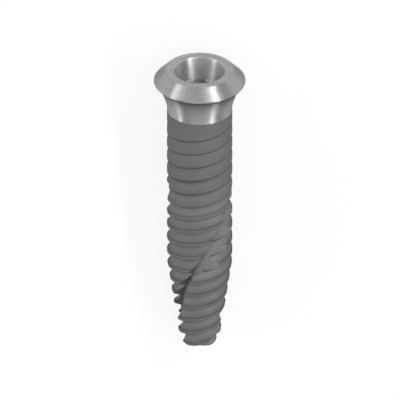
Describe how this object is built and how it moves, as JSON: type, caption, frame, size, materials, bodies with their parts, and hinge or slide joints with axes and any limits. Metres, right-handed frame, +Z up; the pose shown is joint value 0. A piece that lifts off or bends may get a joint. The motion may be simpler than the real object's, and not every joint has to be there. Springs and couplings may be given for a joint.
{
  "type": "dental implant",
  "caption": "Screw-shaped dental implant with a flared machined collar, a blasted thread that deepens to a tapered tip, spiral cutting flutes and a grooved internal socket.",
  "frame": {"origin": "on the floor, under the middle of the lying implant", "axes": "+Z up from the floor; the implant lies along Y with its collar towards -Y and its tip towards +Y, its axis dipping by the rest angle towards the tip"},
  "size_m": [0.0048, 0.0164, 0.0048],
  "materials": {
    "titanium": "titanium, turned bright on the collar and in the bore, blasted matt grey on the thread"
  },
  "bodies": {
    "root": {"implant_fixture": "titanium"}
  },
  "joints": []
}
